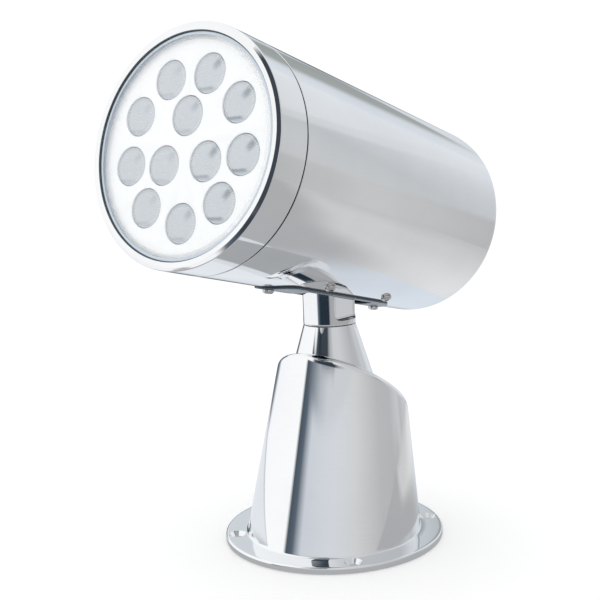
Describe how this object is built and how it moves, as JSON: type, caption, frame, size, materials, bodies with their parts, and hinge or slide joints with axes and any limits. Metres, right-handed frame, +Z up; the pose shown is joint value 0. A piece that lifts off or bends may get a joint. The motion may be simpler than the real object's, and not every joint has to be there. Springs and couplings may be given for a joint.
{
  "type": "marine searchlight",
  "caption": "Polished steel marine searchlight: round LED head that tilts on a flat-sided post, panning on a conical neck and a leaning base with a bolted deck flange.",
  "frame": {"origin": "centre of the deck flange and its bolt circle, on the deck plane", "axes": "+Z up, away from the deck; -Y is the front, where the light shines at rest; +X is to the right as seen from the front"},
  "size_m": [0.138, 0.2616, 0.3069],
  "materials": {
    "polished_steel": "mirror-polished stainless steel",
    "plain_steel": "plain stainless steel",
    "motor_steel": "zinc-plated steel can",
    "bare_alloy": "bare aluminium",
    "brass": "machined brass",
    "board_green": "green circuit board",
    "bearing_resin": "natural bearing resin",
    "black_rubber": "soft black rubber",
    "black_plastic": "black moulded plastic",
    "pale_ring": "pale translucent plastic",
    "clear_glass": "clear flat glass",
    "white_enamel": "white gloss paint",
    "clear_optic": "clear moulded acrylic",
    "emitter": "yellow phosphor"
  },
  "bodies": {
    "base": {"base_housing": "polished_steel", "deck_gasket": "black_rubber", "base_plate": "plain_steel", "base_plate_screws": "plain_steel", "cable_gland": "black_plastic", "chassis_pillars": "brass", "chassis_plate": "bare_alloy", "chassis_screws": "plain_steel", "pan_motor": "motor_steel", "pan_motor_screws": "plain_steel", "control_board": "board_green", "board_standoffs": "brass", "antenna": "brass", "neck_cone": "polished_steel", "neck_washer": "bare_alloy", "neck_nut": "plain_steel", "pan_bush_upper": "bearing_resin", "pan_bush_lower": "bearing_resin"},
    "pan": {"post": "polished_steel", "pan_spindle": "plain_steel", "pan_gear": "brass", "spindle_nut": "plain_steel", "tilt_bushes": "bearing_resin", "tilt_sector": "brass", "sector_pins": "plain_steel"},
    "pan_pinion": {"pan_pinion": "brass"},
    "head": {"head_shell": "polished_steel", "front_bezel": "polished_steel", "bezel_gasket": "black_rubber", "lens_gasket": "pale_ring", "lens_spacer": "pale_ring", "front_lens": "clear_glass", "reflector_plate": "white_enamel", "led_optics": "clear_optic", "led_emitters": "emitter", "led_board": "bare_alloy", "heatsink": "bare_alloy", "engine_ring": "black_plastic", "driver_board": "board_green", "driver_standoffs": "brass", "tilt_bracket": "bare_alloy", "bracket_screws": "polished_steel", "tilt_motor": "motor_steel", "tilt_motor_screws": "plain_steel", "tilt_axle": "plain_steel", "axle_clips": "plain_steel", "slot_plate": "black_plastic", "slot_gasket": "black_rubber", "slot_plate_screws": "polished_steel"},
    "tilt_pinion": {"tilt_pinion": "brass"}
  },
  "joints": [
    {"name": "pan_turn", "type": "hinge", "parent": "base", "child": "pan", "pos_m": [0, 0.0041, 0.1343], "axis": [0, 0, 1], "range_deg": [-185, 185]},
    {"name": "tilt_turn", "type": "hinge", "parent": "pan", "child": "head", "pos_m": [0, 0.0041, 0.1815], "axis": [-1, 0, 0], "range_deg": [-34, 18]},
    {"name": "pan_pinion_turn", "type": "hinge", "parent": "base", "child": "pan_pinion", "pos_m": [0, 0.0361, 0.058], "axis": [0, 0, 1], "range_deg": [-560, 560]},
    {"name": "tilt_pinion_turn", "type": "hinge", "parent": "head", "child": "tilt_pinion", "pos_m": [0, 0.01162, 0.21568], "axis": [-1, 0, 0], "range_deg": [-100, 55]}
  ],
  "couplings": [
    {"joint": "pan_pinion_turn", "follows": "pan_turn", "ratio": -3},
    {"joint": "tilt_pinion_turn", "follows": "tilt_turn", "ratio": 2.8889}
  ]
}
